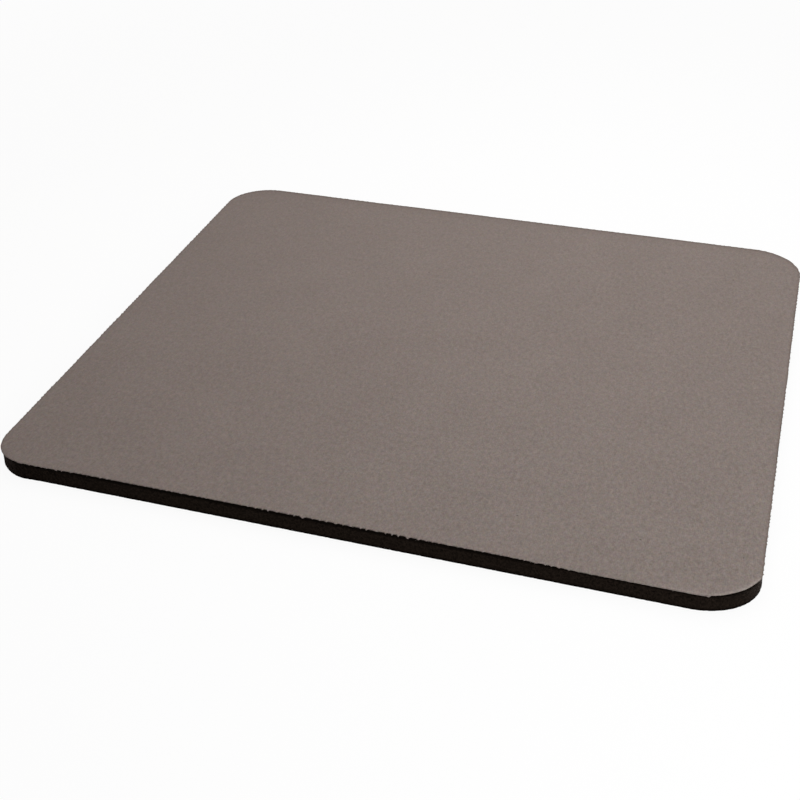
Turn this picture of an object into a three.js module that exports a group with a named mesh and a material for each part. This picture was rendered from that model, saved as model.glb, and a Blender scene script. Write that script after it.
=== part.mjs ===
// A cloth-faced mouse pad: a slab of black rubber sponge, a film of hot-melt glue and a face of fine cloth.
// The three are bonded into one sheet, and a die then cuts the sheet to a rounded rectangle in one stroke.
// Millimetres, +Z up. The origin is the middle of the underside, and the long side runs along X.
import * as THREE from "three";

// Driving dimensions of the cut outline
const PAD_WIDTH = 248; // along X
const PAD_DEPTH = 220; // along Y
const CORNER_RADIUS = 17; // seen from above

// Driving dimensions of the layers, from the desk up
const SPONGE_THICKNESS = 6;
const FILM_THICKNESS = 0.1;
const CLOTH_THICKNESS = 0.4;

// Driving dimensions of the cut edge
const SPONGE_HOLLOW = 0.1; // how far the side draws in at half height, where the die squeezed the sponge
const SPONGE_FOOT = 0.2; // radius that softens the lower edge
const CLOTH_SHOULDER = 0.25; // radius to which the die rolls the cloth's upper edge

// Facets of the round stretches
const CORNER_STEPS = 16; // of each quarter circle in the outline
const HOLLOW_STEPS = 8; // of the sponge's drawn-in side
const ROUND_STEPS = 4; // of the foot's and the shoulder's quarter circles

// Meshes hold 32-bit numbers, so bonded faces lie exactly on each other when their heights are rounded alike.
const inMesh = Math.fround;

// The outline, drawn in by inset, as points that run anticlockwise seen from above.
// The corner circles keep their centres, so every ring has its points on the same rays.
function ring(inset) {
  const points = [];
  const reach = CORNER_RADIUS - inset;
  for (let corner = 0; corner < 4; corner += 1) {
    const right = corner === 0 || corner === 3;
    const back = corner < 2;
    const centreX = (right ? 1 : -1) * (PAD_WIDTH / 2 - CORNER_RADIUS);
    const centreY = (back ? 1 : -1) * (PAD_DEPTH / 2 - CORNER_RADIUS);
    for (let step = 0; step <= CORNER_STEPS; step += 1) {
      const angle = (corner + step / CORNER_STEPS) * (Math.PI / 2);
      points.push(new THREE.Vector2(centreX + reach * Math.cos(angle), centreY + reach * Math.sin(angle)));
    }
  }
  return points;
}

// A closed layer whose edge follows a profile of { inset, height } stations, from the lowest to the highest.
function layerGeometry(profile) {
  const rings = profile.map((station) => ring(station.inset));
  const count = rings[0].length;
  const positions = [];
  rings.forEach((points, level) => {
    points.forEach((point) => positions.push(point.x, point.y, profile[level].height));
  });

  const faces = [];
  for (let level = 0; level + 1 < rings.length; level += 1) {
    for (let i = 0; i < count; i += 1) {
      const here = level * count + i;
      const next = level * count + ((i + 1) % count);
      faces.push(here, next, next + count, here, next + count, here + count);
    }
  }
  const topStart = (rings.length - 1) * count;
  THREE.ShapeUtils.triangulateShape(rings[0], []).forEach(([a, b, c]) => faces.push(a, c, b));
  THREE.ShapeUtils.triangulateShape(rings.at(-1), []).forEach(([a, b, c]) => {
    faces.push(topStart + a, topStart + b, topStart + c);
  });

  const geometry = new THREE.BufferGeometry();
  geometry.setAttribute("position", new THREE.Float32BufferAttribute(positions, 3));
  geometry.setIndex(faces);
  geometry.computeVertexNormals();
  return geometry;
}

// The sponge's side: a soft lower edge, then a shallow arc that draws in and comes out again below the cloth.
function spongeProfile() {
  const stations = [];
  for (let step = 0; step < ROUND_STEPS; step += 1) {
    const angle = (step / ROUND_STEPS) * (Math.PI / 2);
    stations.push({
      inset: SPONGE_FOOT * (1 - Math.sin(angle)),
      height: SPONGE_FOOT * (1 - Math.cos(angle)),
    });
  }
  for (let step = 0; step <= HOLLOW_STEPS; step += 1) {
    const share = step / HOLLOW_STEPS;
    stations.push({
      inset: SPONGE_HOLLOW * 4 * share * (1 - share),
      height: SPONGE_FOOT + (SPONGE_THICKNESS - SPONGE_FOOT) * share,
    });
  }
  return stations;
}

// The glue film is cut square.
function filmProfile() {
  return [
    { inset: 0, height: 0 },
    { inset: 0, height: FILM_THICKNESS },
  ];
}

// The cloth's edge: upright where it was cut, then rolled over to the working surface.
function clothProfile() {
  const stations = [{ inset: 0, height: 0 }];
  for (let step = 0; step <= ROUND_STEPS; step += 1) {
    const angle = (step / ROUND_STEPS) * (Math.PI / 2);
    stations.push({
      inset: CLOTH_SHOULDER * (1 - Math.cos(angle)),
      height: CLOTH_THICKNESS - CLOTH_SHOULDER * (1 - Math.sin(angle)),
    });
  }
  return stations;
}

const spongeMaterial = new THREE.MeshStandardMaterial({ color: "#17120f", roughness: 0.9, metalness: 0 });
const filmMaterial = new THREE.MeshStandardMaterial({ color: "#2f2a26", roughness: 0.5, metalness: 0 });
const clothMaterial = new THREE.MeshStandardMaterial({ color: "#80756f", roughness: 0.95, metalness: 0 });

const layers = [
  { name: "sponge_base", profile: spongeProfile(), thickness: SPONGE_THICKNESS, material: spongeMaterial },
  { name: "adhesive_film", profile: filmProfile(), thickness: FILM_THICKNESS, material: filmMaterial },
  { name: "cloth_top", profile: clothProfile(), thickness: CLOTH_THICKNESS, material: clothMaterial },
];

// Each layer is bonded to the top face of the one below.
const mousePad = new THREE.Group();
mousePad.name = "mouse_pad";
let seat = 0;
for (const { name, profile, thickness, material } of layers) {
  const mesh = new THREE.Mesh(layerGeometry(profile), material);
  mesh.name = name;
  mesh.position.z = seat;
  mousePad.add(mesh);
  seat = inMesh(seat + inMesh(thickness));
}

export default mousePad;
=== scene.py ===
"""Looks of a cloth-faced mouse pad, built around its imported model.

Metres, +Z up, in the model's own frame: the origin is the middle of the underside, +X runs to the user's
right and +Y away from the user. The patterns of the materials are sized in millimetres.
"""
import math
import random

import bmesh
import bpy
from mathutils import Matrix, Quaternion, Vector, geometry, noise


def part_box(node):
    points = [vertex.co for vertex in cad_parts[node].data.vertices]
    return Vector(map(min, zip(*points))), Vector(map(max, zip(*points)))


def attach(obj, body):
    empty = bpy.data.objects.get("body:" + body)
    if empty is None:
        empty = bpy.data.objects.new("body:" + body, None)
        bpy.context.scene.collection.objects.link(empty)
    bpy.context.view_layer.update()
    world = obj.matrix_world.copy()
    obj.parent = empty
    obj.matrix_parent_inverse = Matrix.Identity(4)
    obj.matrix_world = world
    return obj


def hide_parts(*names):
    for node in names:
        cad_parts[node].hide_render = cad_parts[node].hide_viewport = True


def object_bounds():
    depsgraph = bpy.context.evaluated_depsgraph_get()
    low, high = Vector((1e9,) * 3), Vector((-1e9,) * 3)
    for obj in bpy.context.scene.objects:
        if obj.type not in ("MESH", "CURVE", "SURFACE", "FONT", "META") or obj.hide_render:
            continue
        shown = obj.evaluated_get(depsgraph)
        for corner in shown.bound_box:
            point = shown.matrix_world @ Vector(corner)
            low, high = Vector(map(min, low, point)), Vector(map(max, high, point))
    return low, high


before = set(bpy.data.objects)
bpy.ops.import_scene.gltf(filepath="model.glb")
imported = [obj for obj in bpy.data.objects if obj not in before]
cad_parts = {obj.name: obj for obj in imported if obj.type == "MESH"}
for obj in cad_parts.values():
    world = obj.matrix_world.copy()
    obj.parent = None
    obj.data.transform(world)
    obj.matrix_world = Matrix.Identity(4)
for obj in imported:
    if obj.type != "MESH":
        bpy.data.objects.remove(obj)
cad_low, cad_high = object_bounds()

MM = 0.001

# Layers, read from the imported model
_, sponge_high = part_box("sponge_base")
film_low, film_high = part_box("adhesive_film")
cloth_low, cloth_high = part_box("cloth_top")
HALF_WIDTH = cloth_high.x
HALF_DEPTH = cloth_high.y
CLOTH_TOP = cloth_high.z
CLOTH_BOTTOM = cloth_low.z
FILM_TOP = film_high.z
FILM_BOTTOM = film_low.z
SPONGE_TOP = sponge_high.z
ON_EDGE = 0.001 * MM  # points this near the back edge belong to it


def packed_corner_radius():
    """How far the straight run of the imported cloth's back edge stops short of its side."""
    points = [vertex.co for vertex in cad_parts["cloth_top"].data.vertices]
    back_edge = [point for point in points if point.y > HALF_DEPTH - ON_EDGE]
    return HALF_WIDTH - max(point.x for point in back_edge)


CORNER_RADIUS = packed_corner_radius()


# Helpers

def smooth(value, start, end):
    """0 before start, 1 after end, and an even s-curve between."""
    share = min(max((value - start) / (end - start), 0.0), 1.0)
    return share * share * (3 - 2 * share)


def wave(point, length, seed):
    """Smooth noise from -1 to 1, with features about length across."""
    return noise.noise(Vector((point[0] / length, point[1] / length, seed)))


def as_share(value):
    """A value from -1 to 1, brought to the range from 0 to 1."""
    return 0.5 + 0.5 * value


def near(place, centre, length):
    """1 at the centre, falling to 0 over about the length on both sides."""
    return math.exp(-(((place - centre).length / length) ** 2))


# Cut outline

# The die is uneven: how far each corner's reach along X and along Y is off the nominal radius.
# The corners count anticlockwise from the front right.
CORNER_TRIM = (
    Vector((2.0, -1.6)) * MM,
    Vector((2.3, 2.0)) * MM,
    Vector((1.6, 0.3)) * MM,
    Vector((-2.4, -4.0)) * MM,
)


def corner_reach(turn):
    """How far a corner's round reaches along X and along Y."""
    return Vector((CORNER_RADIUS, CORNER_RADIUS)) + CORNER_TRIM[turn % len(CORNER_TRIM)]


def outline_columns(pitch):
    """The outline's points at an even pitch, each with its outward direction.

    They run anticlockwise from the front left: an edge, then the corner at its end.
    """
    columns = []
    half = (HALF_WIDTH, HALF_DEPTH)
    for turn in range(len(CORNER_TRIM)):
        heading = turn * math.pi / 2
        along = Vector((math.cos(heading), math.sin(heading)))
        out = Vector((math.sin(heading), -math.cos(heading)))
        edge_axis = turn % 2
        end = half[edge_axis] - corner_reach(turn)[edge_axis]
        start = corner_reach(turn - 1)[edge_axis] - half[edge_axis]
        steps = round((end - start) / pitch)
        for step in range(steps):
            place = out * half[1 - edge_axis] + along * (start + (end - start) * step / steps)
            columns.append((place, out))

        reach_along = corner_reach(turn)[edge_axis]
        reach_out = corner_reach(turn)[1 - edge_axis]
        centre = out * (half[1 - edge_axis] - reach_out) + along * end
        steps = round((reach_along + reach_out) * math.pi / 4 / pitch)
        for step in range(steps):
            angle = math.pi / 2 * step / steps
            place = centre + out * reach_out * math.cos(angle) + along * reach_along * math.sin(angle)
            ray = out * reach_along * math.cos(angle) + along * reach_out * math.sin(angle)
            columns.append((place, ray.normalized()))
    return columns


def edge_inset(x, y):
    """How far a point lies inside the outline; negative outside."""
    right_turn, left_turn = (1, 2) if y > 0 else (0, 3)
    reach = corner_reach(right_turn if x > 0 else left_turn)
    round_x = 1 - (HALF_WIDTH - abs(x)) / reach.x
    round_y = 1 - (HALF_DEPTH - abs(y)) / reach.y
    if round_x > 0 and round_y > 0:
        return (1 - math.hypot(round_x, round_y)) * min(reach)
    return min(HALF_WIDTH - abs(x), HALF_DEPTH - abs(y))


def step_in(point, out, inset, height):
    """The place at a height, stepped in from a point of the outline."""
    place = point - out * inset
    return Vector((place.x, place.y, height))


# Closed shells

FACE_PITCH = 3.2 * MM  # between the points of a face that shows
HIDDEN_PITCH = FACE_PITCH * 3  # and of one that is bonded to another
INSIDE_ONLY = 1  # asks the triangulation for the inside of the ring alone
SAME_POINT = 1e-9  # points nearer than this are taken for one


class Shell:
    """A closed mesh under construction, made of rings joined by sides and closed by caps."""

    def __init__(self):
        self.points = []
        self.faces = []

    def ring(self, points):
        """Adds the points of a ring and gives their numbers."""
        first = len(self.points)
        self.points.extend(points)
        return range(first, len(self.points))

    def side(self, rings):
        """Quads from each ring to the next, facing out where the next is above, or further in on top."""
        for outer, inner in zip(rings, rings[1:]):
            count = len(outer)
            for i in range(count):
                j = (i + 1) % count
                self.faces.append((outer[i], outer[j], inner[j], inner[i]))

    def cap(self, ring, inner_points, facing_up):
        """Triangles over the area inside a ring, through the inner points."""
        count = len(ring)
        corners = [self.points[i] for i in ring] + inner_points
        edges = [(i, (i + 1) % count) for i in range(count)]
        flat = [Vector((corner.x, corner.y)) for corner in corners]
        result = geometry.delaunay_2d_cdt(flat, edges, [], INSIDE_ONLY, SAME_POINT)
        _, _, triangles, sources, _, _ = result
        first_inner = len(self.points)
        self.points.extend(inner_points)
        place = []
        for source in sources:
            corner = source[0]
            place.append(ring[corner] if corner < count else first_inner + corner - count)
        for triangle in triangles:
            a, b, c = (place[i] for i in triangle)
            self.faces.append((a, b, c) if facing_up else (a, c, b))

    def to_object(self, name):
        """The finished mesh as an object of the scene."""
        mesh = bpy.data.meshes.new(name)
        mesh.from_pydata([tuple(point) for point in self.points], [], self.faces)
        mesh.update()
        mesh.shade_smooth()
        piece = bpy.data.objects.new(name, mesh)
        bpy.context.scene.collection.objects.link(piece)
        return piece


def lattice(pitch, margin):
    """X and Y of a triangular lattice's points that lie further than the margin inside the outline."""
    points = []
    row_step = pitch * math.sqrt(3) / 2
    rows = math.ceil(HALF_DEPTH / row_step)
    steps = math.ceil(HALF_WIDTH / pitch) + 1
    for row in range(-rows, rows + 1):
        offset = (row % 2) * pitch / 2
        for step in range(-steps, steps + 1):
            x = step * pitch + offset
            y = row * row_step
            if edge_inset(x, y) > margin:
                points.append((x, y))
    return points


def at_height(points, height):
    """Points given by X and Y, all at one height."""
    return [Vector((x, y, height)) for x, y in points]


def keep_values(piece, name, values):
    """Keeps, for the material, a value at each point."""
    attribute = piece.data.attributes.new(name, "FLOAT", "POINT")
    attribute.data.foreach_set("value", values)


# Sponge body

SPONGE_PITCH = 0.36 * MM  # between the columns of the cut side
SIDE_ROWS = 16
SIDE_HOLLOW = 0.1 * MM  # how far the side draws in at half height
SIDE_WAVE = 0.04 * MM
SIDE_WAVE_LENGTH = 5 * MM
FOOT_RADIUS = 0.1 * MM
FOOT_ROWS = 4
CELL_SIZE = 0.95 * MM
CELL_DEPTH = 0.11 * MM
CELL_WALL = (0.08, 0.5)  # shares of a cell between which its wall slopes down
CELL_PROUD = 0.07 * MM  # how far the cells' walls swell past the cut
SWELLS = (  # where the foot swells out by the front corners: place, length and how far
    (Vector((124.0, -93.0)) * MM, 4 * MM, 0.3 * MM),
    (Vector((-112.5, -109.8)) * MM, 4.5 * MM, 0.28 * MM),
)

# Embossed underside
GRIP_PITCH = 3.4 * MM  # between the grooves
GROOVE_HALF = 0.45 * MM  # half a groove's width
GROOVE_DEPTH = 0.3 * MM
GRIP_MARGIN = 1.6 * MM  # plain border
CREASE_ANGLE = math.radians(25)  # sharper bends of the underside are shaded as edges


def cell_relief(place):
    """How far a point of the cut side lies back: open cells with thin walls between them."""
    distances, _ = noise.voronoi(place / CELL_SIZE)
    opening = smooth(distances[1] - distances[0], *CELL_WALL)
    uneven = noise.noise(place / SIDE_WAVE_LENGTH)
    return CELL_DEPTH * opening + SIDE_WAVE * as_share(uneven) - CELL_PROUD


def swelling(point, height):
    """How far the sponge swells out of the cut: most at its foot, and not at all under the cloth."""
    at_foot = sum(most * near(point, place, length) for place, length, most in SWELLS)
    return at_foot * (1 - height / SPONGE_TOP)


def side_heights():
    """Insets and heights of the side's rows, from the foot's lowest ring to the sponge's top."""
    rows = []
    for row in range(FOOT_ROWS):
        angle = math.pi / 2 * row / FOOT_ROWS
        rows.append((FOOT_RADIUS * (1 - math.sin(angle)), FOOT_RADIUS * (1 - math.cos(angle))))
    for row in range(SIDE_ROWS + 1):
        share = row / SIDE_ROWS
        inset = SIDE_HOLLOW * 4 * share * (1 - share)
        rows.append((inset, FOOT_RADIUS + (SPONGE_TOP - FOOT_RADIUS) * share))
    return rows


def grip_points():
    """Points of the embossed underside: flat diamonds with v-grooves between them."""
    lines = []
    reach = math.hypot(HALF_WIDTH, HALF_DEPTH)
    count = math.ceil(reach / GRIP_PITCH)
    for number in range(-count, count + 1):
        middle = number * GRIP_PITCH
        lines += [(middle - GROOVE_HALF, 0.0), (middle, GROOVE_DEPTH), (middle + GROOVE_HALF, 0.0)]
    diagonal = math.sqrt(0.5)
    points = []
    for u, depth_u in lines:
        for v, depth_v in lines:
            x = (u + v) * diagonal
            y = (u - v) * diagonal
            inset = edge_inset(x, y)
            if inset > GRIP_MARGIN:
                depth = max(depth_u, depth_v) * smooth(inset, GRIP_MARGIN, GRIP_MARGIN * 2)
                points.append(Vector((x, y, depth)))
    return points


def crease(piece, first_face):
    """Makes the bends sharp among the faces from first_face on."""
    shape = bmesh.new()
    shape.from_mesh(piece.data)
    shape.faces.ensure_lookup_table()
    for face in shape.faces[first_face:]:
        for edge in face.edges:
            if edge.calc_face_angle(0.0) > CREASE_ANGLE:
                edge.smooth = False
    shape.to_mesh(piece.data)
    shape.free()


def sponge_body():
    """The sponge: a cut side of open cells, a soft foot and an embossed underside."""
    columns = outline_columns(SPONGE_PITCH)
    shell = Shell()
    rings = []
    for number, (inset, height) in enumerate(side_heights()):
        points = []
        for point, out in columns:
            place = Vector((point.x, point.y, height))
            relief = 0.0 if number == 0 else cell_relief(place)
            drawn_in = point + out * (swelling(point, height) - inset - relief)
            points.append(Vector((drawn_in.x, drawn_in.y, height)))
        rings.append(shell.ring(points))
    shell.side(rings)
    shell.cap(rings[-1], at_height(lattice(HIDDEN_PITCH, FACE_PITCH), SPONGE_TOP), facing_up=True)
    first_grip_face = len(shell.faces)
    first_grip_point = len(shell.points)
    shell.cap(rings[0], grip_points(), facing_up=False)
    piece = shell.to_object("sponge_body")
    crease(piece, first_grip_face)
    below = [float(i in rings[0] or i >= first_grip_point) for i in range(len(shell.points))]
    keep_values(piece, "underside", below)
    return piece


# Glue film

FILM_PITCH = 0.5 * MM  # between the columns of its edge
FILM_SQUEEZE = 0.05 * MM  # how far the edge was squeezed out at most
FILM_PROFILE = (  # heights of the edge, and shares of the squeeze there
    (FILM_BOTTOM, 0.3),
    ((FILM_BOTTOM + FILM_TOP) / 2, 1.0),
    (FILM_TOP, 0.5),
)
FILM_WAVE_LENGTH = 1.4 * MM
FILM_SEED = 8.8


def glue_film():
    """The glue: a thin sheet whose edge was squeezed a little unevenly when the layers were pressed."""
    columns = outline_columns(FILM_PITCH)
    shell = Shell()
    rings = []
    for height, share in FILM_PROFILE:
        points = []
        for point, out in columns:
            squeeze = FILM_SQUEEZE * share * as_share(wave(point, FILM_WAVE_LENGTH, FILM_SEED))
            points.append(step_in(point, out, FILM_SQUEEZE - squeeze, height))
        rings.append(shell.ring(points))
    shell.side(rings)
    inner = lattice(HIDDEN_PITCH, FACE_PITCH)
    shell.cap(rings[0], at_height(inner, FILM_BOTTOM), facing_up=False)
    shell.cap(rings[-1], at_height(inner, FILM_TOP), facing_up=True)
    return shell.to_object("glue_film")


# Face of the cloth

FACE_WAVE = 0.035 * MM
FACE_WAVE_LENGTH = 38 * MM
FACE_SEED = 0.4


def face_height(x, y):
    """Height of the cloth's face, which follows the sponge's slight unevenness."""
    return CLOTH_TOP - FACE_WAVE * as_share(wave((x, y), FACE_WAVE_LENGTH, FACE_SEED))


# Cut edge of the cloth

CLOTH_PITCH = 0.2 * MM  # between the columns of the cut edge
CLOTH_GRIP = 1.2 * MM  # where the bond begins, behind the cut edge
CLOTH_SHOULDER = 0.25 * MM
SHOULDER_STEPS = 4
CLOTH_DROOP = 0.04 * MM  # how far the upper edge is pressed down
CLOTH_DRAG = 0.55  # share of the hang by which the upper edge is drawn down with it
CLOTH_ROLL = 0.9 * MM  # over what width it comes up again
FACE_RINGS = (0.0, 0.35, 0.8, 1.5, 2.5)  # places of the face's rings, as shares of that width
FACE_INSETS = [CLOTH_SHOULDER + CLOTH_ROLL * share for share in FACE_RINGS]
LIP_THICKNESS = 0.1 * MM  # of the lip that hangs over the sponge's side
LIP_STANDOFF = 0.01 * MM
LIP_ROUND = 0.06 * MM
LIP_OUT = LIP_THICKNESS + LIP_STANDOFF + CELL_PROUD

# How far an edge faces forwards where a trait of the front begins, and where it is full
FRONT_FACING = (0.3, 0.95)
HIGHLIGHT_FACING = (0.1, 0.4)

# Hang along the front edge, with the X stretches on which it changes
CUT_HANG_LEFT = 0.06 * MM  # at the left end
FRONT_LEFT_TURN = (-100 * MM, -88 * MM)
CUT_SHORT = 0.24 * MM  # how far the cloth falls short of the sponge past that turn
FRONT_RIGHT_TURN = (44 * MM, 80 * MM)
CUT_HANG = 0.26 * MM  # how far the die dragged the cloth down past that turn
NUB_X = 110.2 * MM  # a small nub in the cut, near the right end
NUB_HALF = 0.7 * MM
NUB_SIZE = 0.45 * MM
NUB_LEAD = 0.22 * MM  # how much lower the cloth hangs just before the nub
NUB_LEAD_LENGTH = 5 * MM
RIGHT_CORNER_HANG = 0.18 * MM  # past the nub
RIGHT_CORNER_TURN = (111 * MM, 118 * MM)
RIGHT_CORNER_END = -0.05 * MM  # past that turn

# Cut of the other edges and of the front corners
CUT_WANDER = 0.16 * MM  # how far the other edges hang or fall short, to and fro
WANDER_WAVES = ((33 * MM, 1.7), (9 * MM, 4.1))  # their lengths and seeds
LEFT_CORNER_PLACE = Vector((-119.6, -106.3)) * MM  # where the cloth hangs over the front left corner
LEFT_CORNER_LENGTH = 4 * MM
LEFT_CORNER_HANG = 0.48 * MM
LEFT_CORNER_CLEAN = 10 * MM  # over what length the cut is clean there
KNEE_PLACE = Vector((123.6, -97.8)) * MM  # where the cloth stands out before the front right corner
KNEE_LENGTH = 2.2 * MM
KNEE_OUT = 0.36 * MM
CLOTH_SPREAD = 0.14 * MM  # how far the knit spreads past the sponge on the left and at the back
SPREAD_FACING = (0.3, 0.8)  # how far an edge faces that way where this begins, and where it is full

# Loops of the knit that hang out of the cut
LOOP_SPACING = 2.6 * MM
LOOP_JITTER = 0.9  # of a spacing
LOOP_JITTER_LENGTH = 5 * MM
LOOP_SEED = 7.3
LOOP_GENTLE = 0.32  # shares of a spacing over which a loop's tip comes down and goes up again
LOOP_STEEP = 0.16
LOOP_MEAN = (LOOP_GENTLE + LOOP_STEEP) / 2  # of loop_tip along the edge
PLAIN_TAB = 0.26 * MM  # how long they are
RAGGED_TAB = 0.57 * MM  # the same on the X stretch of the front edge where they are torn
RAGGED_STRETCH = (-22 * MM, 28 * MM)
RAGGED_FADE = 5 * MM
TAB_MEAN = 0.8  # share of that length, and how much it varies
TAB_VARIATION = 0.9
TAB_LENGTH = 6 * MM
TAB_SEED = 2.9
FUZZ = 0.06 * MM  # finest unevenness of the cut
FUZZ_LENGTH = 0.5 * MM
FUZZ_SEED = 5.2

# Tones of the edge: a dark rim of painted shade, and a painted highlight
RIM_SHARE = 0.55  # of the dark rim of painted shade along the rolled edge of the sides
RIM_WIDTH = 0.29 * MM
RIM_SHARE_BACK = 1.0  # of the same at the back
RIM_WIDTH_BACK = 0.97 * MM
HIGHLIGHT_SHARE = 0.36  # of the painted highlight on the right of the front edge and round its corner
HIGHLIGHT_WIDTH = 0.32 * MM
HIGHLIGHT_STRETCH = (80 * MM, 122 * MM)  # X stretch over which it begins


def frontness(out):
    """1 on the front edge, 0 on the sides and the back."""
    return smooth(-out.y, *FRONT_FACING)


def highlight_reach(point, out):
    """From 0 to 1, how strong the painted highlight is along the right of the front edge and round its
    corner.
    """
    return smooth(point.x, *HIGHLIGHT_STRETCH) * smooth(-out.y, *HIGHLIGHT_FACING)


def loop_tip(point):
    """1 at the tip of each loop of the knit that hangs out of the cut, 0 between them."""
    jitter = LOOP_JITTER * wave(point, LOOP_JITTER_LENGTH, LOOP_SEED)
    phase = (point.x + point.y) / LOOP_SPACING + jitter
    beyond = phase - round(phase)
    return max(0.0, 1 - abs(beyond) / (LOOP_STEEP if beyond > 0 else LOOP_GENTLE))


def loop_length(point, out):
    """How far the loops hang out: most on the ragged stretch, and hardly at the clean front corners."""
    start, end = RAGGED_STRETCH
    ragged = smooth(point.x, start - RAGGED_FADE, start)
    ragged *= 1 - smooth(point.x, end, end + RAGGED_FADE)
    tab = PLAIN_TAB + (RAGGED_TAB - PLAIN_TAB) * ragged * frontness(out)
    # the loops are shorter where the highlight is painted
    tab *= 1 - highlight_reach(point, out)
    tab *= 1 - near(point, LEFT_CORNER_PLACE, LEFT_CORNER_CLEAN)
    return tab * (TAB_MEAN + TAB_VARIATION * wave(point, TAB_LENGTH, TAB_SEED))


def front_hang(x):
    """How far the cloth hangs along the front edge, loops apart; negative where it falls short."""
    hang = CUT_HANG_LEFT + (-CUT_SHORT - CUT_HANG_LEFT) * smooth(x, *FRONT_LEFT_TURN)
    hang += (CUT_HANG + CUT_SHORT) * smooth(x, *FRONT_RIGHT_TURN)
    hang += NUB_LEAD * smooth(x, NUB_X - NUB_LEAD_LENGTH, NUB_X)
    hang += (RIGHT_CORNER_HANG - CUT_HANG - NUB_LEAD) * smooth(x, NUB_X - NUB_HALF, NUB_X + NUB_HALF)
    hang += (RIGHT_CORNER_END - RIGHT_CORNER_HANG) * smooth(x, *RIGHT_CORNER_TURN)
    return hang + NUB_SIZE * (1 - smooth(abs(x - NUB_X), 0.0, NUB_HALF))


def cut_shift(point, out):
    """How far the cut edge hangs below the bond; where negative, how far it falls short of the sponge."""
    other = CUT_WANDER * sum(wave(point, length, seed) for length, seed in WANDER_WAVES)
    shift = other + (front_hang(point.x) - other) * frontness(out)
    shift += LEFT_CORNER_HANG * near(point, LEFT_CORNER_PLACE, LEFT_CORNER_LENGTH)
    shift += loop_length(point, out) * (loop_tip(point) - LOOP_MEAN)
    return shift + FUZZ * wave(point, FUZZ_LENGTH, FUZZ_SEED)


def painted_rim(out):
    """Share and width of the rim of painted shade: narrow on the sides, wider at the back, none on the
    front.
    """
    back = max(out.y, 0.0)
    share = RIM_SHARE + (RIM_SHARE_BACK - RIM_SHARE) * back
    width = RIM_WIDTH + (RIM_WIDTH_BACK - RIM_WIDTH) * back
    return share * (1 - frontness(out)), width


def edge_stations(point, out):
    """Places across the cloth's edge at a point of the outline, from the bond under it to its face.

    Each has a tone for the material: above 0 for a painted highlight, below 0 for a dark rim of painted
    shade, and 0 for the plain face.
    """
    shift = cut_shift(point, out)
    hang = max(shift, 0.0)
    outer = max(-shift, 0.0) - LIP_OUT * smooth(hang, 0.0, LIP_THICKNESS)
    outer -= CLOTH_SPREAD * smooth(max(out.y, -out.x), *SPREAD_FACING)
    outer -= KNEE_OUT * near(point, KNEE_PLACE, KNEE_LENGTH)
    inner = outer + LIP_THICKNESS
    droop = CLOTH_DROOP + CLOTH_DRAG * hang
    # painted shade along the rim, except where the highlight is painted
    rim_shade, rim_width = painted_rim(out)
    rim_shade *= 1 - highlight_reach(point, out)
    # painted highlight on the right of the front edge and round its corner
    highlight = HIGHLIGHT_SHARE * highlight_reach(point, out)

    def face_station(inset):
        flat = step_in(point, out, outer + inset, 0.0)
        height = face_height(flat.x, flat.y) - droop * math.exp(-inset / CLOTH_ROLL)
        beyond = inset - CLOTH_SHOULDER
        tone = highlight * math.exp(-beyond / HIGHLIGHT_WIDTH) - rim_shade * math.exp(-beyond / rim_width)
        return Vector((flat.x, flat.y, height)), tone

    shoulder_low = face_station(CLOTH_SHOULDER)[0].z - CLOTH_SHOULDER
    lip = min(CLOTH_BOTTOM - hang, shoulder_low - LIP_ROUND * 2)
    stations = [
        (step_in(point, out, CLOTH_GRIP, CLOTH_BOTTOM), 0.0),
        (step_in(point, out, inner + LIP_THICKNESS, CLOTH_BOTTOM), 0.0),
        (step_in(point, out, inner, min(CLOTH_BOTTOM, lip + LIP_ROUND)), -rim_shade),
        (step_in(point, out, (inner + outer) / 2, lip), -rim_shade),
        (step_in(point, out, outer, lip + LIP_ROUND), -rim_shade),
    ]
    for step in range(SHOULDER_STEPS):
        angle = math.pi / 2 * step / SHOULDER_STEPS
        inset = outer + CLOTH_SHOULDER * (1 - math.cos(angle))
        height = shoulder_low + CLOTH_SHOULDER * math.sin(angle)
        tone = highlight * step / SHOULDER_STEPS - rim_shade
        stations.append((step_in(point, out, inset, height), tone))
    return stations + [face_station(inset) for inset in FACE_INSETS]


# Whole cloth

def cloth_face(columns):
    """The cloth: a thin closed sheet with a cut, rolled-over edge and a face that is only nearly flat."""
    shell = Shell()
    rings = []
    tones = []
    for level in range(len(columns[0])):
        rings.append(shell.ring([column[level][0] for column in columns]))
        tones += [column[level][1] for column in columns]
    shell.side(rings)
    inner = lattice(FACE_PITCH, FACE_INSETS[-1] + FACE_PITCH)
    shell.cap(rings[0], at_height(inner, CLOTH_BOTTOM), facing_up=False)
    shell.cap(rings[-1], [Vector((x, y, face_height(x, y))) for x, y in inner], facing_up=True)
    piece = shell.to_object("cloth_face")
    keep_values(piece, "edge_tone", tones + [0.0] * (len(shell.points) - len(tones)))
    return piece


# Fibre ends at the cut edge

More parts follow.
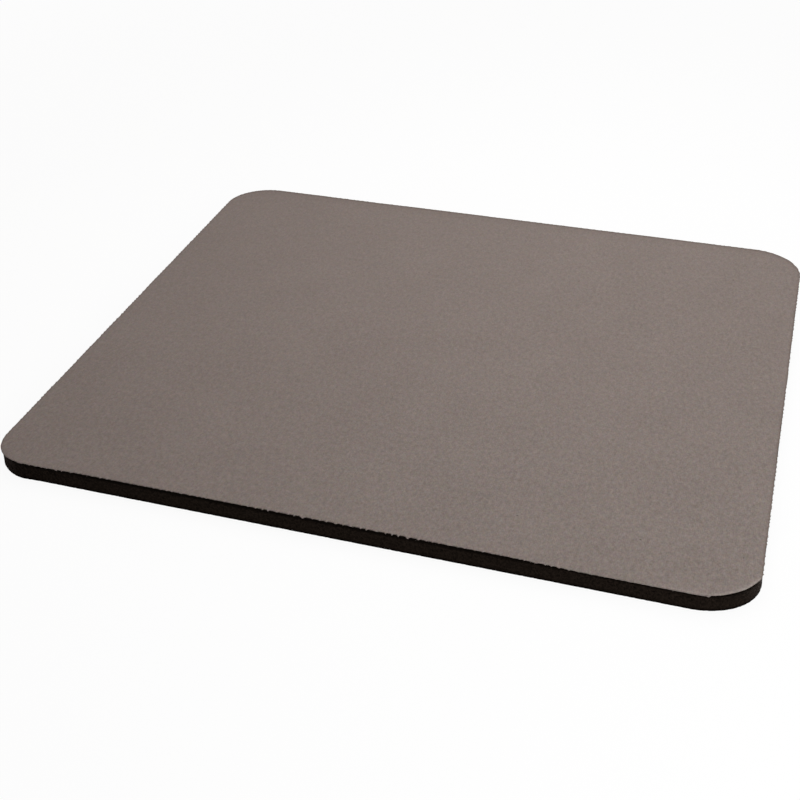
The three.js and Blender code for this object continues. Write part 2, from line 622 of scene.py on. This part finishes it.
FIBRE_COUNT = 900
FIBRE_SEED = 11
FIBRE_LOWEST = 3  # stations of the edge between which they are rooted: the lip's tip and the mid shoulder
FIBRE_HIGHEST = 7
FIBRE_ROOTS = (0.1, 0.9)  # share of the way from the one to the other
FIBRE_ROOT_DEPTH = 0.05 * MM
FIBRE_LENGTHS = (0.15 * MM, 0.55 * MM)
FIBRE_RADIUS = 0.028 * MM
FIBRE_TAPER = 0.6  # share of the radius that is lost towards the tip
FIBRE_OUT = (0.25, 0.7)  # direction: outwards, along the edge and upwards
FIBRE_ALONG = (-0.9, 0.9)
FIBRE_RISE = (-0.9, 0.35)
FIBRE_CURL = ((-0.5, 0.5), (-0.5, 0.5), (-0.7, 0.2))  # along X, Y and Z
FIBRE_BEND = 0.5  # share of the curl that shows
FIBRE_SIDES = 4
FIBRE_STEPS = 4
FIBRE_TONE = 0.3  # paler than the plain face
BESIDE = 3  # columns to each side that give the edge's direction


def fibre_tube(shell, root, aim, curl, length):
    """One fibre end: a thin tapered tube that bends towards curl, closed at both ends."""
    rings = []
    side = aim.orthogonal().normalized()
    other = aim.cross(side)
    for step in range(FIBRE_STEPS):
        share = step / (FIBRE_STEPS - 1)
        middle = root + (aim + curl * share * FIBRE_BEND) * length * share
        radius = FIBRE_RADIUS * (1 - FIBRE_TAPER * share)
        points = []
        for corner in range(FIBRE_SIDES):
            angle = 2 * math.pi * corner / FIBRE_SIDES
            points.append(middle + (side * math.cos(angle) + other * math.sin(angle)) * radius)
        rings.append(shell.ring(points))
    shell.side(rings)
    shell.faces.append(tuple(reversed(rings[0])))
    shell.faces.append(tuple(rings[-1]))


def cloth_fray(columns):
    """Fibre ends that stand out of the cut edge."""
    draw = random.Random(FIBRE_SEED)
    shell = Shell()
    count = len(columns)
    for fibre in range(FIBRE_COUNT):
        place = int((fibre + draw.random()) / FIBRE_COUNT * count) % count
        lowest = columns[place][FIBRE_LOWEST][0]
        highest = columns[place][FIBRE_HIGHEST][0]
        root = lowest.lerp(highest, draw.uniform(*FIBRE_ROOTS))
        beside = columns[(place + BESIDE) % count][0][0] - columns[place - BESIDE][0][0]
        along = Vector((beside.x, beside.y, 0)).normalized()
        out = Vector((along.y, -along.x, 0))
        rise = Vector((0, 0, draw.uniform(*FIBRE_RISE)))
        aim = out * draw.uniform(*FIBRE_OUT) + along * draw.uniform(*FIBRE_ALONG) + rise
        length = draw.uniform(*FIBRE_LENGTHS)
        curl = Vector([draw.uniform(*span) for span in FIBRE_CURL])
        fibre_tube(shell, root - out * FIBRE_ROOT_DEPTH, aim.normalized(), curl, length)
    piece = shell.to_object("cloth_fray")
    keep_values(piece, "edge_tone", [FIBRE_TONE] * len(shell.points))
    return piece


# Materials

NOISE_RANGE = (0.3, 0.7)  # where nearly all values of a noise lie
NOISE_CORE = (0.35, 0.65)  # and where most of them lie
SPONGE_LIGHT = (0.0168, 0.0118, 0.0089, 1)  # linear; of the sponge's dusty walls and the cloth's flecks


class Surface:
    """A material under construction: adds nodes, and sets or links their inputs."""

    def __init__(self, name):
        self.material = bpy.data.materials.new(name)
        self.material.use_nodes = True
        self.tree = self.material.node_tree
        self.tree.nodes.clear()
        coordinates = self.add("ShaderNodeTexCoord")
        self.millimetres = self.vector("SCALE", coordinates.outputs["Object"], Scale=1 / MM)

    def add(self, kind, inputs=None, **settings):
        node = self.tree.nodes.new(kind)
        for key, value in settings.items():
            setattr(node, key, value)
        for key, value in (inputs or {}).items():
            if isinstance(value, bpy.types.NodeSocket):
                self.tree.links.new(value, node.inputs[key])
            else:
                node.inputs[key].default_value = value
        return node

    def math(self, operation, first, second=0.0, third=0.0, clamp=False):
        inputs = {0: first, 1: second, 2: third}
        return self.add("ShaderNodeMath", inputs, operation=operation, use_clamp=clamp).outputs[0]

    def vector(self, operation, first, second=None, **named):
        inputs = {0: first, **named}
        if second is not None:
            inputs[1] = second
        return self.add("ShaderNodeVectorMath", inputs, operation=operation).outputs["Vector"]

    def place(self):
        """X, Y and Z of the point, in millimetres."""
        return self.add("ShaderNodeSeparateXYZ", {0: self.millimetres}).outputs

    def attribute(self, name):
        """A value that the mesh keeps at each point."""
        return self.add("ShaderNodeAttribute", attribute_name=name).outputs["Fac"]

    def noise(self, size, detail=1.0, vector=None):
        """Noise from 0 to 1, with features about size millimetres across."""
        inputs = {"Vector": vector or self.millimetres, "Scale": 1 / size, "Detail": detail}
        return self.add("ShaderNodeTexNoise", inputs).outputs["Fac"]

    def spread(self, value, low, high, to_low=0.0, to_high=1.0):
        """A value brought from one range to another, and held inside it."""
        inputs = {"Value": value, "From Min": low, "From Max": high, "To Min": to_low, "To Max": to_high}
        return self.add("ShaderNodeMapRange", inputs).outputs["Result"]

    def blend(self, share, first, second):
        """The first colour, turning into the second as the share goes from 0 to 1."""
        return self.add("ShaderNodeMix", {0: share, 6: first, 7: second}, data_type="RGBA").outputs[2]

    def tint(self, colour, factor):
        """A colour multiplied by another."""
        inputs = {0: 1.0, 6: colour, 7: factor}
        return self.add("ShaderNodeMix", inputs, data_type="RGBA", blend_type="MULTIPLY").outputs[2]

    def bump(self, height, depth, strength):
        inputs = {"Height": height, "Distance": depth, "Strength": strength}
        return self.add("ShaderNodeBump", inputs).outputs["Normal"]

    def shade(self, inputs):
        """The finished material, with these inputs on its shader."""
        shader = self.add("ShaderNodeBsdfPrincipled", inputs)
        self.add("ShaderNodeOutputMaterial", {"Surface": shader.outputs["BSDF"]})
        return self.material


# Material of the cloth, with linear colours

CLOTH_DARK = (0.152, 0.122, 0.111, 1)
CLOTH_LIGHT = (0.281, 0.240, 0.215, 1)
# pale fibre ends, and the painted highlight on the right of the front edge
CLOTH_PALE_AND_HIGHLIGHT = (0.42, 0.37, 0.34, 1)
# the dark rim of painted shade along the edge
CLOTH_RIM_SHADE = (0.11, 0.08, 0.066, 1)

# Knit
WALE = 0.56  # width of a column of stitches
COURSE = 0.44  # height of a stitch
RIDGE = 0.5  # height of a stitch's zigzag, before it is scaled
SWAY = 0.35  # how far the columns sway, as a share of their width
SWAY_SIZE = 2.4
WALE_STRETCH = 0.6  # factor on Y that draws noise out along the columns

# Nap: its noise, from fine to coarse, with the shares that each and the knit have in the tone
FINE_SIZE = 0.45
GRAIN_SIZE = 1.3
BLOTCH_SIZE = 24.0
NAP_DETAIL = 2.0
FINE_SHARE = 0.56
GRAIN_SHARE = 0.31
BLOTCH_SHARE = 0.1
KNIT_SHARE = 0.08
TONE_MIDDLE = (FINE_SHARE + GRAIN_SHARE + BLOTCH_SHARE + KNIT_SHARE) / 2
TONE_RANGE = (0.26, 0.74)
TONE_CENTRE = sum(TONE_RANGE) / 2  # where that middle is brought
NAP_MIDDLE = 0.84  # contrast in the middle, and how it changes to the right and to the back
NAP_SLOPE_X = 0.12
NAP_SLOPE_Y = -0.08
NAP_DEPTH = 0.07 * MM
NAP_STRENGTH = 0.6
FINE_RELIEF = 0.6
KNIT_RELIEF = 0.5

# Yarns: size of the patches, an offset that sets their noise apart, and two factors on the cloth's colour
RED_GREEN_YARN = (0.9, (310.0, 170.0, 40.0), (1.044, 1.0, 1.016, 1), (0.956, 1.0, 0.984, 1))
BLUE_YELLOW_YARN = (0.7, (90.0, 430.0, 75.0), (1.0, 1.0, 1.056, 1), (1.0, 1.0, 0.944, 1))

# Flecks
FLECK_SPACING = 9.0
FLECK_RARITY = 0.72  # share of the places that have none
FLECK_EDGE = (0.02, 0.045)  # shares of the spacing between which a fleck fades
FLECK_SHARE = 0.55

# Pale fibre ends and the painted highlight, where the fine noise thins them out
CUT_RANGE = (0.3, 0.6)
CUT_LEAST = 0.45


def knit_height(surface):
    """Height of a fine knit: columns of v-shaped stitches."""
    sway = surface.noise(SWAY_SIZE)
    place = surface.place()
    across = surface.math("MULTIPLY_ADD", sway, SWAY, surface.math("DIVIDE", place["X"], WALE))
    ridge = surface.math("PINGPONG", across, RIDGE)
    rise = surface.math("ADD", surface.math("DIVIDE", place["Y"], COURSE), ridge)
    stitch = surface.math("PINGPONG", rise, RIDGE)
    return surface.math("MULTIPLY", surface.math("MULTIPLY", ridge, stitch), 1 / RIDGE**2)


def along_wales(surface):
    """Coordinates in which noise comes out drawn along the knit's columns, from front to back."""
    return surface.vector("MULTIPLY", surface.millimetres, (1.0, WALE_STRETCH, 1.0))


def nap_contrast(surface):
    """How strongly the nap stands out: it lies flatter towards the back left."""
    place = surface.place()
    across = surface.math("MULTIPLY_ADD", place["X"], NAP_SLOPE_X * MM / HALF_WIDTH, NAP_MIDDLE)
    return surface.math("MULTIPLY_ADD", place["Y"], NAP_SLOPE_Y * MM / HALF_DEPTH, across)


def yarn_tint(surface, colour, yarn):
    """A colour tinted by two yarns that come up in turn."""
    size, offset, first, second = yarn
    apart = surface.vector("ADD", surface.millimetres, offset)
    share = surface.spread(surface.noise(size, vector=apart), *NOISE_CORE)
    return surface.tint(colour, surface.blend(share, first, second))


def fleck_share(surface):
    """How far the few dark flecks cover the cloth."""
    inputs = {"Vector": surface.millimetres, "Scale": 1 / FLECK_SPACING}
    spots = surface.add("ShaderNodeTexVoronoi", inputs)
    present = surface.math("GREATER_THAN", spots.outputs["Color"], FLECK_RARITY)
    fleck = surface.spread(spots.outputs["Distance"], *FLECK_EDGE, FLECK_SHARE, 0.0)
    return surface.math("MULTIPLY", fleck, present)


def cloth_colour(surface, fine, knit, nap):
    """Taupe of several yarns: speckle, slow blotches and a few dark flecks."""
    grain = surface.noise(GRAIN_SIZE, detail=NAP_DETAIL, vector=along_wales(surface))
    blotch = surface.noise(BLOTCH_SIZE, detail=NAP_DETAIL)
    tone = surface.math("MULTIPLY_ADD", fine, FINE_SHARE, surface.math("MULTIPLY", grain, GRAIN_SHARE))
    tone = surface.math("MULTIPLY_ADD", blotch, BLOTCH_SHARE, tone)
    tone = surface.math("MULTIPLY_ADD", knit, KNIT_SHARE, tone)
    tone = surface.math("MULTIPLY_ADD", surface.math("SUBTRACT", tone, TONE_MIDDLE), nap, TONE_CENTRE)
    colour = surface.blend(surface.spread(tone, *TONE_RANGE), CLOTH_DARK, CLOTH_LIGHT)
    colour = yarn_tint(surface, colour, RED_GREEN_YARN)
    colour = yarn_tint(surface, colour, BLUE_YELLOW_YARN)
    return surface.blend(fleck_share(surface), colour, SPONGE_LIGHT)


def cloth_material():
    """Matt taupe knit with a dark rim of painted shade and a painted highlight on the right of the front
    edge.
    """
    surface = Surface("taupe_cloth")
    knit = knit_height(surface)
    fine = surface.noise(FINE_SIZE, detail=NAP_DETAIL, vector=along_wales(surface))
    nap = nap_contrast(surface)
    colour = cloth_colour(surface, fine, knit, nap)

    edge = surface.attribute("edge_tone")
    uneven = surface.spread(fine, *CUT_RANGE, CUT_LEAST, 1.0)
    # paler for the pale fibre ends and the painted highlight
    colour = surface.blend(surface.math("MULTIPLY", edge, uneven, clamp=True), colour, CLOTH_PALE_AND_HIGHLIGHT)
    # darker along the rim of painted shade
    colour = surface.blend(surface.math("MULTIPLY", edge, -1.0, clamp=True), colour, CLOTH_RIM_SHADE)

    height = surface.math("MULTIPLY_ADD", fine, FINE_RELIEF, surface.math("MULTIPLY", knit, KNIT_RELIEF))
    return surface.shade({
        "Base Color": colour,
        "Roughness": surface.spread(fine, *NOISE_RANGE, 0.88, 1.0),
        "Normal": surface.bump(height, NAP_DEPTH, surface.math("MULTIPLY", nap, NAP_STRENGTH)),
        "Specular IOR Level": 0.08,
        "Sheen Weight": 0.06,
        "Sheen Roughness": 0.55,
        "Sheen Tint": (0.62, 0.56, 0.52, 1),
    })


# Material of the sponge, with linear colours

SPONGE_DARK = (0.0013, 0.0009, 0.0007, 1)
PORE_SIZE = 0.3125
PORE_WALL = (0.02, 0.22)  # shares of a pore between which its wall turns dark
PORE_DEPTH = 0.06 * MM
PORE_STRENGTH = 0.7
DUST_SIZE = 0.9
DUST_DETAIL = 3.0
DUST_SHARE = 0.8  # of dust and walls in the tone
WALL_SHARE = 0.35
DUST_RANGE = (0.36, 0.6)
DUST_RELIEF = 0.4
PAINTED_BOUNCE = 0.1  # how much darker the side's upper end is painted than its foot: painted bounce light from the floor
LEFT_SHADE = -0.08  # painted shade: how much darker the left end is, past the X stretch over which it darkens
LEFT_SHADE_TURN = (-105.0, -70.0)
SHADE_BAND_DEPTH = 1.3  # of the bands of painted shade at the side's upper and lower ends, under the cloth and at the foot
SHADE_BAND_CORE = SHADE_BAND_DEPTH / 3  # how deep a band is at its full darkness
SHADE_BAND_SHARE = 0.75

# Underside
GRIP_DARK = (0.009, 0.008, 0.0072, 1)
GRIP_LIGHT = (0.036, 0.033, 0.030, 1)
SCUFF_SIZE = 6.0
SCUFF_DETAIL = 4.0
SCUFF_LEAST = 0.35


def side_colour(surface, wall, dust):
    """Black of the cut side: lighter, dusty cell walls, with painted shade under the cloth, at the foot
    and on the left.
    """
    place = surface.place()
    tone = surface.math("MULTIPLY_ADD", dust, DUST_SHARE, surface.math("MULTIPLY", wall, WALL_SHARE))
    # painted bounce light: lighter towards the foot
    tone = surface.math("MULTIPLY_ADD", place["Z"], -PAINTED_BOUNCE * MM / SPONGE_TOP, tone)
    # painted shade: darker at the left end
    tone = surface.math("ADD", tone, surface.spread(place["X"], *LEFT_SHADE_TURN, LEFT_SHADE, 0.0))
    colour = surface.blend(surface.spread(tone, *DUST_RANGE), SPONGE_DARK, SPONGE_LIGHT)

    half = SPONGE_TOP / MM / 2
    from_middle = surface.math("ABSOLUTE", surface.math("SUBTRACT", place["Z"], half))
    # painted shade in bands under the cloth and at the foot
    shade_band = surface.spread(from_middle, half - SHADE_BAND_DEPTH, half - SHADE_BAND_CORE, 0.0, SHADE_BAND_SHARE)
    return surface.blend(shade_band, colour, SPONGE_DARK)


def grip_colour(surface):
    """Black rubber of the underside, scuffed grey on its flats and dark in its grooves."""
    scuff = surface.noise(SCUFF_SIZE, detail=SCUFF_DETAIL)
    scuff = surface.spread(scuff, *NOISE_RANGE, SCUFF_LEAST, 1.0)
    flat = surface.spread(surface.place()["Z"], 0.0, GROOVE_DEPTH / MM, 1.0, 0.0)
    return surface.blend(surface.math("MULTIPLY", scuff, flat), GRIP_DARK, GRIP_LIGHT)


def sponge_material():
    """Black rubber sponge with small open cells, and a scuffed underside."""
    surface = Surface("black_sponge")
    inputs = {"Vector": surface.millimetres, "Scale": 1 / PORE_SIZE}
    pores = surface.add("ShaderNodeTexVoronoi", inputs, feature="DISTANCE_TO_EDGE")
    wall = surface.spread(pores.outputs["Distance"], *PORE_WALL, 1.0, 0.0)
    dust = surface.noise(DUST_SIZE, detail=DUST_DETAIL)
    side = side_colour(surface, wall, dust)
    height = surface.math("MULTIPLY_ADD", dust, DUST_RELIEF, wall)
    return surface.shade({
        "Base Color": surface.blend(surface.attribute("underside"), side, grip_colour(surface)),
        "Roughness": surface.spread(dust, *NOISE_RANGE, 0.8, 1.0),
        "Normal": surface.bump(height, PORE_DEPTH, PORE_STRENGTH),
        "Specular IOR Level": 0.005,
        "Sheen Weight": 0.14,
        "Sheen Roughness": 0.2,
        "Sheen Tint": (1.0, 0.84, 0.76, 1),
    })


# Material of the glue, with linear colours

FILM_DARK = (0.004, 0.003, 0.0024, 1)
FILM_LIGHT = (0.014, 0.011, 0.009, 1)
RIPPLE_SIZE = 0.7
RIPPLE_DETAIL = 2.0
RIPPLE_DEPTH = 0.02 * MM
RIPPLE_STRENGTH = 0.5


def film_material():
    """Clear hot-melt glue, dark over the sponge, with a fine ripple along its cut."""
    surface = Surface("clear_glue")
    ripple = surface.noise(RIPPLE_SIZE, detail=RIPPLE_DETAIL)
    return surface.shade({
        "Base Color": surface.blend(surface.spread(ripple, *NOISE_CORE), FILM_DARK, FILM_LIGHT),
        "Roughness": surface.spread(ripple, *NOISE_RANGE, 0.6, 0.8),
        "Normal": surface.bump(ripple, RIPPLE_DEPTH, RIPPLE_STRENGTH),
        "Specular IOR Level": 0.02,
    })


# Stage

FLOOR_HALF = 6.0
FLOOR_GAP = 0.02 * MM  # how far the floor lies below the pad, so that no two faces coincide
FLOOR_WHITE = (0.92, 0.92, 0.92, 1)
BACKGROUND_WHITE = (1, 1, 1, 1)
FLOOR_GLOW = 0.92  # share of plain background in the floor by the pad; the rest takes the pad's shadow
FLOOR_NEAR = 0.25  # distances between which that share grows to 1
FLOOR_FAR = 0.8
WORLD_LIGHT = (0.28, 0.252, 0.252, 1)  # even light, a little warm
KEY_PLACE = Vector((0.055, 0.136, 0.35))
KEY_SIZE = 0.45
KEY_POWER = 1.106
KEY_COLOUR = (1, 1, 1)
FILL_PLACE = Vector((0.35, -0.35, 0.25))
FILL_SIZE = 0.3
FILL_POWER = 1.372
FILL_COLOUR = (0.95, 1, 1)


def seen_directly(tree):
    """1 for rays from the camera, mirrors and clear glass, 0 for the rays that light the pad."""
    path = tree.nodes.new("ShaderNodeLightPath")
    share = path.outputs["Is Camera Ray"]
    for name in ("Is Glossy Ray", "Is Transmission Ray"):
        larger = tree.nodes.new("ShaderNodeMath")
        larger.operation = "MAXIMUM"
        tree.links.new(share, larger.inputs[0])
        tree.links.new(path.outputs[name], larger.inputs[1])
        share = larger.outputs[0]
    return share


def floor_material():
    """White that takes a faint shadow near the pad and is plain background further off."""
    surface = Surface("floor_white")
    diffuse = surface.add("ShaderNodeBsdfDiffuse", {"Color": FLOOR_WHITE})
    glow = surface.add("ShaderNodeEmission", {"Color": BACKGROUND_WHITE, "Strength": 1.0})
    away = surface.add("ShaderNodeVectorMath", {0: surface.millimetres}, operation="LENGTH")
    distance = away.outputs["Value"]
    white = surface.spread(distance, FLOOR_NEAR / MM, FLOOR_FAR / MM, FLOOR_GLOW, 1.0)
    share = surface.math("MULTIPLY", seen_directly(surface.tree), white)
    mix = surface.add("ShaderNodeMixShader", {0: share, 1: diffuse.outputs[0], 2: glow.outputs[0]})
    surface.add("ShaderNodeOutputMaterial", {"Surface": mix.outputs[0]})
    return surface.material


def make_floor():
    """A large square floor just under the pad."""
    signs = ((-1, -1), (1, -1), (1, 1), (-1, 1))
    mesh = bpy.data.meshes.new("floor")
    mesh.from_pydata([(x * FLOOR_HALF, y * FLOOR_HALF, 0) for x, y in signs], [], [(0, 1, 2, 3)])
    floor = bpy.data.objects.new("floor", mesh)
    floor.location.z = cad_low.z - FLOOR_GAP
    mesh.materials.append(floor_material())
    bpy.context.scene.collection.objects.link(floor)


def make_world():
    """Even light from all round, in front of a white background."""
    world = bpy.data.worlds.new("studio")
    world.use_nodes = True
    tree = world.node_tree
    level = tree.nodes.new("ShaderNodeMix")
    level.data_type = "RGBA"
    tree.links.new(seen_directly(tree), level.inputs[0])
    level.inputs[6].default_value = WORLD_LIGHT
    level.inputs[7].default_value = BACKGROUND_WHITE
    tree.links.new(level.outputs[2], tree.nodes["Background"].inputs["Color"])
    bpy.context.scene.world = world


def make_lamp(name, place, size, power, colour):
    """A soft round lamp that faces the middle of the pad."""
    lamp = bpy.data.lights.new(name, "AREA")
    lamp.shape = "DISK"
    lamp.size = size
    lamp.energy = power
    lamp.color = colour
    holder = bpy.data.objects.new(name, lamp)
    holder.location = place
    holder.visible_camera = False
    holder.rotation_euler = (-place).to_track_quat("-Z", "Y").to_euler()
    bpy.context.scene.collection.objects.link(holder)


# Photograph's view

LENS = 59.696  # millimetres, as is the sensor's width
SENSOR = 36.0
SHIFT_X = 0.033
CAMERA_PLACE = Vector((111.69, -405.6, 261.45)) * MM
CAMERA_TARGET = Vector((-14.7, -32.99, 0.0)) * MM
CAMERA_ROLL = math.radians(-1.223)
NEAREST = 0.01  # nothing nearer to the camera than this is drawn


def make_camera():
    """The camera at the photograph's viewing angle."""
    lens = bpy.data.cameras.new("camera")
    lens.lens = LENS
    lens.sensor_width = SENSOR
    lens.shift_x = SHIFT_X
    lens.clip_start = NEAREST
    camera = bpy.data.objects.new("camera", lens)
    camera.location = CAMERA_PLACE
    level = (CAMERA_TARGET - CAMERA_PLACE).to_track_quat("-Z", "Y")
    camera.rotation_euler = (level @ Quaternion((0, 0, 1), CAMERA_ROLL)).to_euler()
    bpy.context.scene.collection.objects.link(camera)
    bpy.context.scene.camera = camera


# Assembly

taupe = cloth_material()
edge_columns = [edge_stations(point, out) for point, out in outline_columns(CLOTH_PITCH)]

cloth = cloth_face(edge_columns)
cloth.data.materials.append(taupe)
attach(cloth, "root")
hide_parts("cloth_top")

fray = cloth_fray(edge_columns)
fray.data.materials.append(taupe)
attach(fray, "root")

sponge = sponge_body()
sponge.data.materials.append(sponge_material())
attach(sponge, "root")
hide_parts("sponge_base")

film = glue_film()
film.data.materials.append(film_material())
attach(film, "root")
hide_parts("adhesive_film")

make_floor()
make_world()
make_lamp("key", KEY_PLACE, KEY_SIZE, KEY_POWER, KEY_COLOUR)
make_lamp("fill", FILL_PLACE, FILL_SIZE, FILL_POWER, FILL_COLOUR)
make_camera()
bpy.context.scene.view_settings.view_transform = "Standard"
